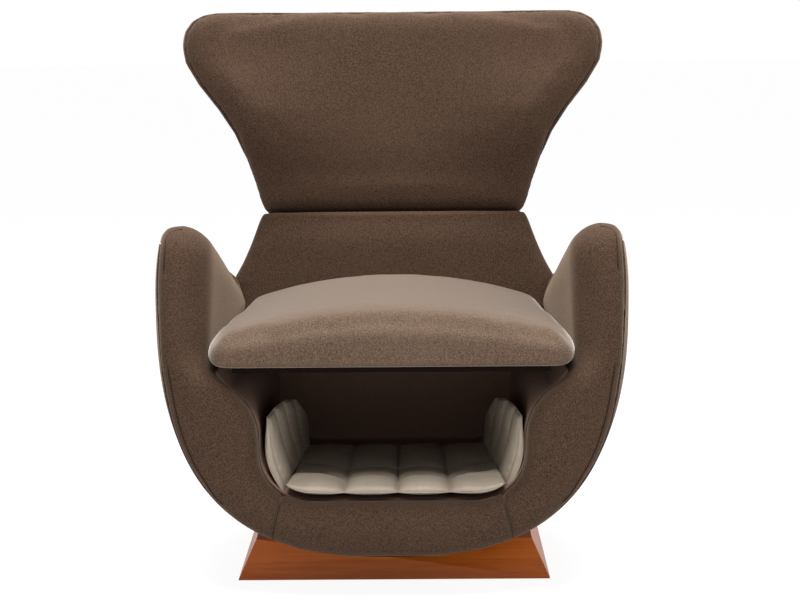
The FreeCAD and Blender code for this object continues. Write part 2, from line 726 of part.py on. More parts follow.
def build_seat():
    board = block(-ARM_INNER_HALF, ARM_INNER_HALF, LEDGE_START_Y, NEST_REAR_Y + LINER,
                  SEAT_LEDGE_Z, SEAT_BOARD_TOP)
    nose_half = ARM_INNER_HALF - SEAT_EDGE
    nose = block(-nose_half, nose_half, SEAT_FRONT_Y + SEAT_BOARD_SETBACK, LEDGE_START_Y,
                 SEAT_LEDGE_Z, SEAT_BOARD_TOP)
    save("seat_board", board.fuse(nose).removeSplitter())

    rings = []
    for z, inset in ((SEAT_BOARD_TOP, 0.0), (SEAT_BOARD_TOP + SEAT_EDGE * 0.7, 4.0),
                     (SEAT_BOARD_TOP + SEAT_CROWN - SEAT_CORE_MARGIN, 60.0)):
        x = ARM_INNER_HALF - SEAT_CORE_MARGIN - 14 - inset
        front = SEAT_FRONT_Y + SEAT_CORE_MARGIN + 14 + inset
        rear = seat_rear_y(SEAT_BOARD_TOP) - SEAT_CORE_MARGIN - inset / 2
        cut = 40.0
        rings.append([V(-x, front + cut, z), V(-x + cut, front, z), V(x - cut, front, z),
                      V(x, front + cut, z), V(x, rear, z), V(-x, rear, z)])
    core = save("seat_core", skinned(rings))
    save("seat_cushion", seat_form().cut(core))


# Lower back

def back_point(x, up, forward):
    """A point from the hinge axis: across the chair, up the lean and forward of it."""
    return HINGE + ACROSS * x + UP * up + FORWARD * forward


BACK_MIDDLE_Y = BACK_FRONT_Y + BACK_THICKNESS / 2 / math.cos(LEAN)
HINGE_Y = BACK_MIDDLE_Y + (HINGE_Z - BACK_FRONT_Z) * math.tan(LEAN) - HINGE_FORWARD / math.cos(LEAN)
HINGE = V(0, HINGE_Y, HINGE_Z)
BACK_FACE = BACK_THICKNESS / 2 - HINGE_FORWARD
BACK_REAR = -BACK_THICKNESS / 2 - HINGE_FORWARD
WING_HALF = WING_THICKNESS / 2
BACK_TOP = -WING_HALF * 0.62
BACK_REFERENCE = -(HINGE_Z - BACK_FRONT_Z) / math.cos(LEAN)
BACK_BOTTOM = -(HINGE_Z - SEAT_BOARD_TOP) / math.cos(LEAN) - BACK_THICKNESS * math.tan(LEAN)


def back_half(up):
    return min(BACK_HALF_WIDTH - (up - BACK_REFERENCE) * BACK_TAPER, BACK_LOW_HALF)


BACK_KNEE = BACK_REFERENCE - (BACK_LOW_HALF - BACK_HALF_WIDTH) / BACK_TAPER


def above_board(shape):
    return shape.common(block(-FAR, FAR, -FAR, FAR, SEAT_BOARD_TOP, FAR))


def back_slab(side_inset, top_inset, face, rear):
    """Flat tapered slab of the lower back between two depths."""
    outline = ((BACK_BOTTOM, BACK_LOW_HALF), (BACK_KNEE, BACK_LOW_HALF), (BACK_TOP - top_inset, None))
    right = []
    for up, half in outline:
        half = back_half(up) if half is None else half
        right.append(back_point(half - side_inset, up, face))
    return prism([flip(p) for p in right] + right[::-1], FORWARD * (rear - face))


def back_section(up, crown):
    half = back_half(up)
    corner = quarter(half, BACK_FACE - BACK_CORNER, half - BACK_CORNER, BACK_FACE)[:-1]
    face = crowned(half - BACK_CORNER, BACK_FACE, crown)[::-1]
    sizes = [(half, BACK_REAR)] + corner + face + [(-x, forward) for x, forward in reversed(corner)]
    sizes.append((-half, BACK_REAR))
    return [back_point(x, up, forward) for x, forward in sizes]


def back_body():
    """The whole lower back, crowned across and fullest at the small of the back."""
    middle = (BACK_KNEE + BACK_TOP) / 2
    sections = [back_section(BACK_BOTTOM, BACK_CROWN * 0.5), back_section(BACK_KNEE, BACK_CROWN * 0.8),
                back_section(middle, BACK_CROWN), back_section(BACK_TOP, BACK_CROWN * 0.5)]
    return skinned(sections)


def hinge_slot(width, reach, start, end):
    """Room for a hinge arm of the given width below the pin."""
    half = width / 2
    corners = [back_point(start, 0, half), back_point(start, -reach, half),
               back_point(start, -reach, -half), back_point(start, 0, -half)]
    return prism(corners, V(end - start, 0, 0))


def dish(radius):
    return rod(radius, back_point(-FAR, 0, 0), back_point(FAR, 0, 0))


def build_lower_back():
    face = BACK_FACE - BACK_PADDING
    room = above_board(back_slab(BACK_SIDE_PADDING, BACK_SIDE_PADDING, face, BACK_REAR - 1))
    room = room.cut(dish(WING_HALF + DISH_GAP + BACK_SIDE_PADDING / 2))
    pad = above_board(back_body()).cut(dish(WING_HALF + DISH_GAP)).cut(room)
    for side in (-1, 1):
        x = side * POST_X
        reach = HINGE_PLATE + 1
        pad = pad.cut(hinge_slot(HINGE_ARM + 2, HINGE_DOWN, x - reach, x + reach))
    save("lower_back_pad", largest(pad))

    board_face = BACK_FACE - BACK_PADDING
    board_rear = board_face - BACK_BOARD
    board = room.common(back_slab(0, 0, board_face, board_rear))
    for side in (-1, 1):
        board = board.cut(hinge_slot(HINGE_ARM + 1, HINGE_DOWN + 0.5, side * (POST_X - HINGE_PLATE - 0.5),
                                     side * POST_X))
    save("lower_back_board", board)
    save("lower_back_rear_cover", room.common(back_slab(0, 0, BACK_REAR + BACK_COVER, BACK_REAR)))

    post_top = BACK_TOP - BACK_SIDE_PADDING - 8
    for node, side in (("left_back_post", -1), ("right_back_post", 1)):
        x = side * POST_X
        rear = BACK_REAR + BACK_COVER
        corners = [back_point(x, post_top, board_rear), back_point(x, BACK_BOTTOM, board_rear),
                   back_point(x, BACK_BOTTOM, rear), back_point(x, post_top, rear)]
        save(node, above_board(prism(corners, V(side * POST_WIDTH, 0, 0))))


# Hinges

def hinge_arm(side, inner, up, forward_low, forward_high, bore):
    """Flat hinge plate from the pin to its fixing, with a round eye."""
    x = side * (POST_X + inner)
    start = back_point(x, 0, 0)
    eye = Part.makeCylinder(EYE_RADIUS, HINGE_PLATE, start, V(side, 0, 0))
    corners = [back_point(x, 0, forward_high), back_point(x, up, forward_high),
               back_point(x, up, forward_low), back_point(x, 0, forward_low)]
    plate = eye.fuse(prism(corners, V(side * HINGE_PLATE, 0, 0))).removeSplitter()
    return plate.cut(Part.makeCylinder(bore, HINGE_PLATE, start, V(side, 0, 0)))


def build_hinges():
    half = HINGE_ARM / 2
    pins = []
    for name, side in (("left", -1), ("right", 1)):
        lower = hinge_arm(side, -HINGE_PLATE, -HINGE_DOWN, -half, half, PIN_RADIUS)
        save(name + "_lower_hinge_plate", lower)
        upper = hinge_arm(side, RUNNING_GAP, HINGE_UP, -half, half, PIN_RADIUS + PIN_GAP)
        save(name + "_upper_hinge_plate", upper)
        start = back_point(side * (POST_X - 2 * HINGE_PLATE), 0, 0)
        end = back_point(side * (POST_X + 2 * HINGE_PLATE), 0, 0)
        head_end = back_point(side * (POST_X - HINGE_PLATE), 0, 0)
        head = [start + UP * spot.x + FORWARD * spot.y for spot in around(PIN_RADIUS * 1.8, SCREW_SIDES)]
        pins.append(rod(PIN_RADIUS, start, end).fuse(prism(head, head_end - start)))
    save("hinge_pins", Part.makeCompound(pins))


# Wing back, through level outlines from its round foot to its round top

WING_TOP_CENTRE = WING_TOP_Z - WING_HALF


def wing_faces(z):
    """Front and rear places of the wing at a height, on the middle of the chair."""
    rise = z - HINGE_Z
    drop = z - WING_TOP_CENTRE
    middle = HINGE_Y + rise * math.tan(LEAN)
    top_y = HINGE_Y + (WING_TOP_CENTRE - HINGE_Z) * math.tan(LEAN)
    depth = WING_HALF / math.cos(LEAN)
    tangent = WING_HALF * math.sin(LEAN)
    foot = math.sqrt(max(WING_HALF ** 2 - rise ** 2, 4))
    head = math.sqrt(max(WING_HALF ** 2 - drop ** 2, 4))
    front = middle - depth
    rear = middle + depth
    if rise < tangent:
        front = HINGE_Y - foot
    if rise < -tangent:
        rear = HINGE_Y + foot
    if drop > tangent:
        front = top_y - head
    if drop > -tangent:
        rear = top_y + head
    return front, rear


class WingCut:
    """Level cross-section: a strip curved forwards at its ends, which are round."""

    def __init__(self, z, half):
        self.z = z
        self.front, self.rear = wing_faces(z)
        self.middle = (self.front + self.rear) / 2
        self.end = (self.rear - self.front) / 2
        reach = half - self.end
        share = min(max((z - WING_SWEEP_FOOT) / (WING_SWEEP_TOP - WING_SWEEP_FOOT), 0), 1)
        sweep = max(WING_SWEEP * (1.5 * share - 0.5 * share ** 3), 1)
        self.radius = (reach ** 2 + sweep ** 2) / (2 * sweep)
        self.angle = math.asin(reach / self.radius)

    def spot(self, forward, x):
        r = self.radius - forward
        return V(x, self.middle - self.radius + math.sqrt(r ** 2 - x ** 2), self.z)

    def cap(self, degrees):
        turn = math.radians(degrees)
        a = self.angle
        tip = V(self.radius * math.sin(a), self.middle - self.radius + self.radius * math.cos(a), self.z)
        along = V(math.cos(a), -math.sin(a), 0)
        ahead = V(-math.sin(a), -math.cos(a), 0)
        return tip + (along * math.cos(turn) + ahead * math.sin(turn)) * self.end

    def half_section(self, facing_front):
        """Front or rear half of the strip, parted along its middle line."""
        s = 1 if facing_front else -1
        edge = self.cap(90 * s).x
        face = [self.spot(self.end * s, edge * (2 * share - 1)) for share in steps(FACE_STEPS)]
        cap = [self.cap(90 * s * (1 - share)) for share in steps(ROLL_STEPS)[1:]]
        parting = [self.spot(0, cap[-1].x * share) for share in (0.5, 0.0, -0.5)]
        return face + cap + parting + mirrored_outline(cap)

    def slat(self, thick, half):
        """Bent board just behind the parting, from side to side."""
        tip = self.cap(0)
        bend = self.spot(0, tip.x * 0.5)
        reach = bend + (tip - bend) * ((half - bend.x) / (tip.x - bend.x))
        right = [self.spot(0, 0), bend, reach]
        front = [flip(reach), flip(bend)] + right
        near = [p + V(0, WING_SKIN, 0) for p in front]
        far = [p + V(0, WING_SKIN + thick, 0) for p in reversed(front)]
        return near + far


def build_wing():
    cuts = [WingCut(z, half) for z, half in WING_OUTLINE]
    front = skinned([c.half_section(True) for c in cuts])
    rear = skinned([c.half_section(False) for c in cuts])
    slats = []
    for cut, (z, half) in zip(cuts, WING_OUTLINE):
        if HINGE_Z - 2 < z < WING_TOP_CENTRE:
            slats.append(cut.slat(WING_FRAME, half - cut.end - WING_FRAME_MARGIN))
    frame = skinned(slats)
    rooms = []
    for side in (-1, 1):
        start = side * (POST_X - 2 * HINGE_PLATE - 1)
        end = side * (POST_X + 2 * HINGE_PLATE + 1)
        rooms.append(rod(EYE_POCKET, back_point(start, 0, 0), back_point(end, 0, 0)))
        for tilt in range(0, TILT + 1, 10):
            strip = hinge_slot(HINGE_ARM + 2, WING_THICKNESS, start, end)
            strip.rotate(HINGE, ACROSS, -tilt)
            rooms.append(strip)
        rooms.append(hinge_arm(side, RUNNING_GAP, HINGE_UP, -HINGE_ARM / 2, HINGE_ARM / 2, PIN_RADIUS))
    room = Part.makeCompound(rooms)
    frame = save("wing_frame", largest(frame.cut(room)))
    save("wing_rear_cover", largest(rear.cut(frame).cut(room)))
    save("wing_pad", largest(front.cut(room)))


# Quilted mat

def scallops(origin, step, rise, count, low, high, reach):
    """Bar with a row of arched puffs along its top, parted by sewn channels."""
    edges = [line(origin + step * count, origin), line(origin, origin + rise * low)]
    for i in range(count):
        a = origin + step * i + rise * low
        b = a + step
        edges.append(arc(a, (a + b) * 0.5 + rise * (high - low), b))
    edges.append(line(origin + step * count + rise * low, origin + step * count))
    return Part.Face(Part.Wire(edges)).extrude(reach)


def build_mat():
    corner = V(-MAT_HALF, MAT_FRONT_Y, NEST_FLOOR_Z + MAT_GAP)
    up = V(0, 0, 1)
    across = scallops(corner, V(MAT_CUSHION, 0, 0), up, MAT_CUSHIONS, MAT_SEAM, MAT_PUFF, V(0, MAT_DEPTH, 0))
    along = scallops(corner, V(0, MAT_ROW, 0), up, MAT_ROWS, MAT_SEAM - MAT_DIP, MAT_PUFF + MAT_DIP,
                     V(2 * MAT_HALF, 0, 0))
    room = throat(-FAR, NEST_REAR_Y, -MAT_GAP)
    floor = save("mat_floor_cushions", across.common(along).common(room))

    lean = math.radians(FLAP_LEAN)
    climb = V(math.sin(lean), 0, math.cos(lean))
    inward = V(-math.cos(lean), 0, math.sin(lean))
    foot = corner + V(2 * MAT_HALF + 0.5, FLAP_SETBACK, 0)
    length = MAT_DEPTH - 2 * FLAP_SETBACK
    pleat = V(0, length / MAT_ROWS, 0)
    flap = scallops(foot, pleat, inward, MAT_ROWS, FLAP_SEAM, FLAP_PUFF, climb * FLAP_HEIGHT)
    top = foot.z + FLAP_HEIGHT * 0.95
    rear = foot.y + length
    corners = [V(0, foot.y + length * 0.4, top), V(0, rear + 1, top - FLAP_FALL)]
    corners = corners + [V(0, rear + 1, FAR), V(0, 0, FAR)]
    flap = flap.cut(prism(corners, V(FAR, 0, 0))).cut(floor)
    flap = save("mat_right_flap", largest(flap.common(room)))
    save("mat_left_flap", mirrored(flap))


build_plinth()
build_swivel()
build_tub()
build_seat()
build_lower_back()
build_hinges()
build_wing()
build_mat()
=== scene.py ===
import math
import bmesh
import bpy
from mathutils import Matrix, Vector, noise
from mathutils.bvhtree import BVHTree


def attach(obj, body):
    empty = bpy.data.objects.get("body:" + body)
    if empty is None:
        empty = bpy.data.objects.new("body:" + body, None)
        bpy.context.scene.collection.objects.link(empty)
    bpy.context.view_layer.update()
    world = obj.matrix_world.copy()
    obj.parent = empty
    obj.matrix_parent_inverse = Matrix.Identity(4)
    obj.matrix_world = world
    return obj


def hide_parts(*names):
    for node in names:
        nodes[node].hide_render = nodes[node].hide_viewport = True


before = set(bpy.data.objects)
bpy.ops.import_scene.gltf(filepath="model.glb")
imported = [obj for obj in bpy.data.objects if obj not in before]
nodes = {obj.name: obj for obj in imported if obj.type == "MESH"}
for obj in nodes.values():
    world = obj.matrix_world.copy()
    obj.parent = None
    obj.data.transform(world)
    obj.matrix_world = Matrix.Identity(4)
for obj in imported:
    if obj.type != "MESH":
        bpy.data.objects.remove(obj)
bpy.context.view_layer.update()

# Plinth boards: four softwood boards veneered in cherry, mitred at the corners and leaning
# inwards, with the grain running along each board and a clear satin lacquer over it.
class Wire:
    """One socket of a finish, with arithmetic for plain values."""

    def __init__(self, finish, socket):
        self.finish = finish
        self.socket = socket

    def reckon(self, operation, first, second):
        return self.finish.node("ShaderNodeMath", {"operation": operation}, {0: first, 1: second})

    def __add__(self, other):
        return self.reckon("ADD", self, other)

    def __radd__(self, other):
        return self.reckon("ADD", other, self)

    def __mul__(self, other):
        return self.reckon("MULTIPLY", self, other)

    def __rmul__(self, other):
        return self.reckon("MULTIPLY", other, self)


class Finish:
    """A material being mixed, with its coordinates in metres on the piece."""

    def __init__(self, name, roughness, **constants):
        self.material = bpy.data.materials.new(name)
        self.material.use_nodes = True
        self.tree = self.material.node_tree
        self.tree.nodes.clear()
        self.output = self.tree.nodes.new("ShaderNodeOutputMaterial")
        self.shader = self.tree.nodes.new("ShaderNodeBsdfPrincipled")
        self.tree.links.new(self.shader.outputs["BSDF"], self.output.inputs["Surface"])
        self.shader.inputs["Roughness"].default_value = roughness
        for word, value in constants.items():
            self.shader.inputs[word.replace("_", " ")].default_value = value

    def node(self, kind, settings=None, sockets=None, out=0):
        """A node of a kind, with its settings first and then its values and links."""
        made = self.tree.nodes.new(kind)
        for word, value in (settings or {}).items():
            setattr(made, word, value)
        for key, value in (sockets or {}).items():
            if isinstance(value, Wire):
                self.tree.links.new(value.socket, made.inputs[key])
            else:
                made.inputs[key].default_value = value
        return Wire(self, made.outputs[out])

    def place(self, stretch=(1, 1, 1)):
        spot = self.node("ShaderNodeTexCoord", out="Object")
        return self.node("ShaderNodeVectorMath", {"operation": "MULTIPLY"}, {0: spot, 1: stretch})

    def along(self, axis):
        return self.node("ShaderNodeSeparateXYZ", sockets={0: self.place()}, out=axis)

    def cloud(self, scale, detail=2.0, stretch=(1, 1, 1)):
        sockets = {"Vector": self.place(stretch), "Scale": scale, "Detail": detail}
        return self.node("ShaderNodeTexNoise", sockets=sockets, out="Fac")

    def blend(self, share, first, second):
        sockets = {"Factor": share, 6: first, 7: second}
        return self.node("ShaderNodeMix", {"data_type": "RGBA"}, sockets, out=2)

    def grade(self, value, low, high):
        sockets = {"Value": value, "From Min": low, "From Max": high}
        return self.node("ShaderNodeMapRange", sockets=sockets)

    def feed(self, socket, wire):
        self.tree.links.new(wire.socket, self.shader.inputs[socket])

    def plain(self, colour):
        self.shader.inputs["Base Color"].default_value = colour

    def bump(self, height, strength, distance):
        sockets = {"Height": height, "Strength": strength, "Distance": distance}
        self.feed("Normal", self.node("ShaderNodeBump", sockets=sockets))


def tint(red, green, blue):
    """A colour given as it looks on a screen, from 0 to 255."""
    return tuple((c / 255) ** 2.2 for c in (red, green, blue)) + (1.0,)


BOARD_EDGE = 0.0008
WELD_REACH = 0.00002


def cherry(name, stretch):
    """Lacquered veneer whose fibres run where the stretch is least."""
    veneer = Finish(name, 0.42, Coat_Weight=0.12, Coat_Roughness=0.3)
    fibres = veneer.cloud(1.0, 6.0, stretch)
    figure = veneer.cloud(0.22, 3.0, stretch)
    pores = veneer.grade(veneer.cloud(3.4, 2.0, stretch), 0.58, 0.72)
    colour = veneer.blend(veneer.grade(fibres, 0.3, 0.7), tint(206, 97, 28), tint(236, 128, 46))
    colour = veneer.blend(veneer.grade(figure, 0.35, 0.65), colour, tint(220, 108, 34))
    colour = veneer.blend(pores * 0.35, colour, tint(136, 62, 24))
    veneer.feed("Base Color", colour)
    veneer.bump(fibres, 0.12, 0.0004)
    return veneer.material


def finished(name, material, bevel=0.0):
    """Gives a solid its material and, where asked, softened edges."""
    piece = nodes[name]
    piece.data.materials.clear()
    piece.data.materials.append(material)
    if bevel:
        weld = piece.modifiers.new("Welded", "WELD")
        weld.merge_threshold = WELD_REACH
        edge = piece.modifiers.new("Eased edges", "BEVEL")
        edge.width = bevel
        edge.segments = 3
        edge.limit_method = "ANGLE"


along_front = cherry("Cherry along the front", (6, 90, 160))
along_side = cherry("Cherry along the sides", (90, 6, 160))
for board in ("plinth_front_board", "plinth_rear_board"):
    finished(board, along_front, BOARD_EDGE)
for board in ("plinth_left_board", "plinth_right_board"):
    finished(board, along_side, BOARD_EDGE)

# Plinth inside: a black stained deck let in between the boards, glued corner blocks under it,
# and black felt glides that hold the plinth a little clear of the floor.
plywood = Finish("Birch plywood", 0.62)
plies = plywood.cloud(1.0, 4.0, (14, 90, 90))
plywood.feed("Base Color", plywood.blend(plies, tint(176, 146, 104), tint(204, 177, 136)))
plywood.bump(plies, 0.1, 0.0003)
stained = Finish("Black stained board", 0.7)
stained.plain(tint(58, 48, 40))
stained.bump(stained.cloud(1.0, 4.0, (14, 90, 90)), 0.1, 0.0003)
finished("plinth_deck", stained.material)
finished("plinth_corner_blocks", plywood.material)
glide = Finish("Black felt", 0.95)
glide.plain(tint(28, 27, 26))
finished("floor_glides", glide.material)

# Swivel and hinges: two zinc plated steel plates that turn on a nylon ring round a pivot,
# screwed to the plinth's deck below and to a stained board under the tub above. The plates
# and pins of the wing back's two hinges have the same plating.
zinc = Finish("Zinc plate", 0.38, Metallic=1.0)
zinc.plain(tint(176, 178, 180))
zinc.bump(zinc.cloud(220.0, 3.0), 0.05, 0.0002)
for part in ("swivel_lower_plate", "swivel_upper_plate", "swivel_pivot", "swivel_lower_screws",
             "swivel_upper_screws", "hinge_pins", "left_lower_hinge_plate",
             "right_lower_hinge_plate", "left_upper_hinge_plate", "right_upper_hinge_plate"):
    finished(part, zinc.material)
nylon = Finish("White nylon", 0.45)
nylon.plain(tint(226, 224, 216))
finished("swivel_glide_ring", nylon.material)
finished("swivel_mounting_board", stained.material)

# Frame inside the tub and the backs: plywood ribs, boards and rails, glued and screwed,
# with blocks of cream foam on them under the covers.
for board in ("nest_floor_board", "left_base_rail", "right_base_rail", "front_rib",
              "left_middle_rib", "right_middle_rib", "rear_bulkhead", "rear_cross_rail",
              "lower_back_board", "left_back_post", "right_back_post", "wing_frame"):
    finished(board, plywood.material)
foam = Finish("Cream foam", 0.9)
foam.plain(tint(214, 203, 172))
foam.bump(foam.cloud(900.0, 1.0), 0.3, 0.0006)
for block in ("seat_core", "nest_rear_pad"):
    finished(block, foam.material)

# Outer shell: a moulded shell covered in heathered brown felted wool, drawn tight and glued,
# so that it follows the egg without a wrinkle.
def felted(name, dark, light, nap, bloom=tint(240, 214, 188)):
    """Felted wool of two heathered tones, with a soft nap that blooms at the edges."""
    wool = Finish(name, 0.95, Sheen_Weight=nap, Sheen_Roughness=0.36, Specular_IOR_Level=0.15)
    wool.shader.inputs["Sheen Tint"].default_value = bloom
    flock = wool.cloud(480.0, 3.0)
    fleck = wool.cloud(1100.0, 2.0)
    drift = wool.cloud(7.0, 3.0)
    colour = wool.blend(wool.grade(flock, 0.34, 0.66), dark, light)
    colour = wool.blend(wool.grade(fleck, 0.54, 0.7) * 0.35, colour, tint(130, 108, 90))
    colour = wool.blend(wool.grade(drift, 0.3, 0.7) * 0.18, colour, light)
    wool.feed("Base Color", colour)
    wool.bump(flock + fleck * 0.5, 0.3, 0.001)
    return wool.material


def made(name, work):
    """A new piece from a mesh that has been worked on."""
    mesh = bpy.data.meshes.new(name)
    work.to_mesh(mesh)
    work.free()
    piece = bpy.data.objects.new(name, mesh)
    bpy.context.scene.collection.objects.link(piece)
    return piece


def own_mesh(name, copy_of):
    """A new piece that starts as the merged mesh of one or more solids."""
    work = bmesh.new()
    for node in copy_of:
        work.from_mesh(nodes[node].data)
    bmesh.ops.remove_doubles(work, verts=work.verts, dist=WELD_REACH)
    return made(name, work)


def settle(piece):
    """Makes what the piece's modifiers give its own mesh."""
    shown = piece.evaluated_get(bpy.context.evaluated_depsgraph_get())
    mesh = bpy.data.meshes.new_from_object(shown)
    old = piece.data
    piece.modifiers.clear()
    piece.data = mesh
    bpy.data.meshes.remove(old)


def wrapped(piece, voxel, rounds):
    """Draws a skin of even small faces over the piece and eases its corners."""
    skin = piece.modifiers.new("Skin", "REMESH")
    skin.mode = "VOXEL"
    skin.voxel_size = voxel
    ease = piece.modifiers.new("Eased", "SMOOTH")
    ease.factor = 0.5
    ease.iterations = rounds
    settle(piece)
    for face in piece.data.polygons:
        face.use_smooth = True
    return piece


def dressed(piece, material, body, replaced):
    """Gives a cover its cloth and its body, and hides the solids that it stands for."""
    piece.data.materials.clear()
    piece.data.materials.append(material)
    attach(piece, body)
    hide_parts(*replaced)


# A darker copy of the brown wool, used for the ring's welt as painted shade along the seam.
seam_shade_wool = felted("Shaded brown wool", tint(34, 24, 18), tint(60, 45, 35), 0.1)
wool = felted("Heathered brown wool", tint(50, 37, 29), tint(91, 71, 58), 0.3)
EGG_WIDEST = (-0.058, 0.474)
EGG_NOSE = -0.418
EGG_HALF = 0.407
EGG_NOSE_HALF = 0.352
EGG_BELLY = 0.4015
EGG_SHOULDER = 0.33
EGG_REAR = 0.4
EGG_REAR_POWER = 2.7
EGG_TOP_POWER = 2.5
EGG_BELLY_POWER = 2.65
EGG_SKIN = (0.975, 1.02)
EGG_EASED_TO = 0.3


def egg_size(y):
    """Half width, depth and height of the egg at a place along it."""
    if y < EGG_WIDEST[0]:
        share = (EGG_WIDEST[0] - y) / (EGG_WIDEST[0] - EGG_NOSE)
        return EGG_HALF - (EGG_HALF - EGG_NOSE_HALF) * share ** 2, EGG_BELLY, EGG_SHOULDER
    share = min((y - EGG_WIDEST[0]) / EGG_REAR, 0.999)
    part = (1 - share ** EGG_REAR_POWER) ** (1 / EGG_REAR_POWER)
    return EGG_HALF * part, EGG_BELLY * part, EGG_SHOULDER * part


def onto_egg(piece):
    """Moves what lies on the outside of the shell onto the smooth egg."""
    for vertex in piece.data.vertices:
        x, y, z = vertex.co
        half, belly, shoulder = egg_size(y)
        rise = z - EGG_WIDEST[1]
        power = EGG_TOP_POWER if rise > 0 else EGG_BELLY_POWER
        tall = shoulder if rise > 0 else belly
        reach = ((abs(x) / half) ** power + (abs(rise) / tall) ** power) ** (1 / power)
        if y < EGG_EASED_TO and EGG_SKIN[0] < reach < EGG_SKIN[1]:
            vertex.co = (x / reach, y, EGG_WIDEST[1] + rise / reach)


shell = wrapped(own_mesh("shell_cover", ["outer_shell"]), 0.005, 12)
onto_egg(shell)
dressed(shell, wool, "tub", ["outer_shell"])

# Padded ring: foam on the rim of the shell under the same wool, cut in a lip panel, two arm
# panels that run on down the inner sides to the seat, and a rear panel, with plain sewn seams.
RING_FACE = -0.370
RING_BEND_Z = 0.270
RING_TIP = (-0.220, 0.530)
RING_TIP_RADIUS = 0.080
RING_TIP_ABOVE = 0.03
RING_SLOPE = math.radians(18.5)
ARM_INSIDE = 0.301
ARM_ROUND = 0.075
ARM_LEAN = 0.026
ARM_LEAN_RUN = (-0.36, 0.1)
ARM_WALL = 0.06
ARM_END = 0.12
ARM_BASE = (0.35, 0.43)
ARM_CREST = (0.48, 0.59)
ARM_CREST_SHARE = 0.6
EASED_ACROSS = (0.376, 0.352)
EASED_UP = (0.33, 0.42)
EASED_ROUNDS = 60
tip_reach = RING_TIP[0] - RING_FACE
tip_rise = RING_TIP[1] - RING_BEND_Z
tip_span = tip_reach ** 2 + tip_rise ** 2 - RING_TIP_RADIUS ** 2
RING_RADIUS = tip_span / (2 * (tip_reach - RING_TIP_RADIUS))


def faded(value, low, high):
    """From 0 at low to 1 at high, without a corner."""
    share = min(max((value - low) / (high - low), 0.0), 1.0)
    return share * share * (3 - 2 * share)


def under_face(y, z):
    """How deep a place lies behind the front and top of the ring, seen from the side."""
    downhill = Vector((math.cos(RING_SLOPE), -math.sin(RING_SLOPE)))
    outward = Vector((math.sin(RING_SLOPE), math.cos(RING_SLOPE)))
    tip = Vector(RING_TIP)
    spot = Vector((y, z))
    if (spot - tip).dot(downhill) > 0:
        return RING_TIP_RADIUS - (spot - tip).dot(outward)
    middle = Vector((RING_FACE + RING_RADIUS, RING_BEND_Z))
    if (tip - middle).angle_signed(spot - middle, 0.0) > 0 or z > RING_TIP[1] + RING_TIP_ABOVE:
        return RING_TIP_RADIUS - (spot - tip).length
    return RING_RADIUS - (spot - middle).length


def flowing(piece):
    """Rounds the arm's inner edge into one soft sweep and leans its inner wall."""
    step = 0.001
    for vertex in piece.data.vertices:
        x, y, z = vertex.co
        share = faded(z, *ARM_BASE) * (1 - ARM_CREST_SHARE * faded(z, *ARM_CREST))
        if share == 0.0:
            continue
        inside = abs(x) - ARM_INSIDE
        deep = under_face(y, z)
        if inside < ARM_ROUND and deep < ARM_ROUND and y < ARM_END:
            skin = min(inside, deep)
            along = ARM_ROUND - inside if deep < inside else ARM_ROUND + deep
            turned = along / (2 * ARM_ROUND) * math.pi / 2
            aside = ARM_ROUND - (ARM_ROUND - skin) * math.sin(turned)
            sunk = ARM_ROUND - (ARM_ROUND - skin) * math.cos(turned)
            slope = Vector((under_face(y + step, z) - deep, under_face(y, z + step) - deep))
            if slope.length > 0.0:
                slope = slope.normalized() * (sunk - deep) * share
                vertex.co.y += slope.x
                vertex.co.z += slope.y
            vertex.co.x = math.copysign(abs(x) + (aside - inside) * share, x)
        near = faded(abs(vertex.co.x), ARM_INSIDE + ARM_WALL, ARM_INSIDE)
        lean = ARM_LEAN * faded(y, *ARM_LEAN_RUN) * near * faded(z, *ARM_BASE)
        vertex.co.x -= math.copysign(lean, x)
    easing = piece.vertex_groups.new(name="easing")
    for vertex in piece.data.vertices:
        share = faded(abs(vertex.co.x), *EASED_ACROSS) * faded(vertex.co.z, *EASED_UP)
        easing.add([vertex.index], share, "REPLACE")
    ease = piece.modifiers.new("Sweep", "SMOOTH")
    ease.factor = 0.7
    ease.iterations = EASED_ROUNDS
    ease.vertex_group = "easing"
    settle(piece)
    piece.vertex_groups.clear()


ring_panels = (("lip_cover", ["front_lip_pad"], 0.003),
               ("left_arm_cover", ["left_arm_pad", "left_nest_side_pad"], 0.004),
               ("right_arm_cover", ["right_arm_pad", "right_nest_side_pad"], 0.004),
               ("rear_ring_cover", ["rear_tub_pad"], 0.004))
for name, pads, voxel in ring_panels:
    panel = wrapped(own_mesh(name, pads), voxel, 12)
    if "arm" in name:
        flowing(panel)
    dressed(panel, wool, "tub", pads)

# Ring seam: a fine welt of the same wool where the shell's cloth is turned over the front of the
# ring and sewn to its panels, coloured in a darker copy of the wool as painted shade along the
# seam.
def lofted(name, rings):
    """A smooth closed tube through rings of points."""
    work = bmesh.new()
    loops = [[work.verts.new(point) for point in ring] for ring in rings]
    for before, after in zip(loops, loops[1:]):
        for k in range(len(before)):
            work.faces.new((before[k - 1], before[k], after[k], after[k - 1]))
    work.faces.new(loops[0])
    work.faces.new(loops[-1][::-1])
    bmesh.ops.recalc_face_normals(work, faces=work.faces)
    for face in work.faces:
        face.smooth = True
    return made(name, work)


def tube(name, path, radius, sides=8):
    """A fine welt or piping along a path of points."""
    rings = []
    for i, point in enumerate(path):
        ahead = (path[min(i + 1, len(path) - 1)] - path[max(i - 1, 0)]).normalized()
        side = ahead.cross(Vector((0.1, 0.2, 0.97))).normalized()
        top = side.cross(ahead)
        turns = [2 * math.pi * k / sides for k in range(sides)]
        rings.append([point + (side * math.cos(a) + top * math.sin(a)) * radius for a in turns])
    return lofted(name, rings)


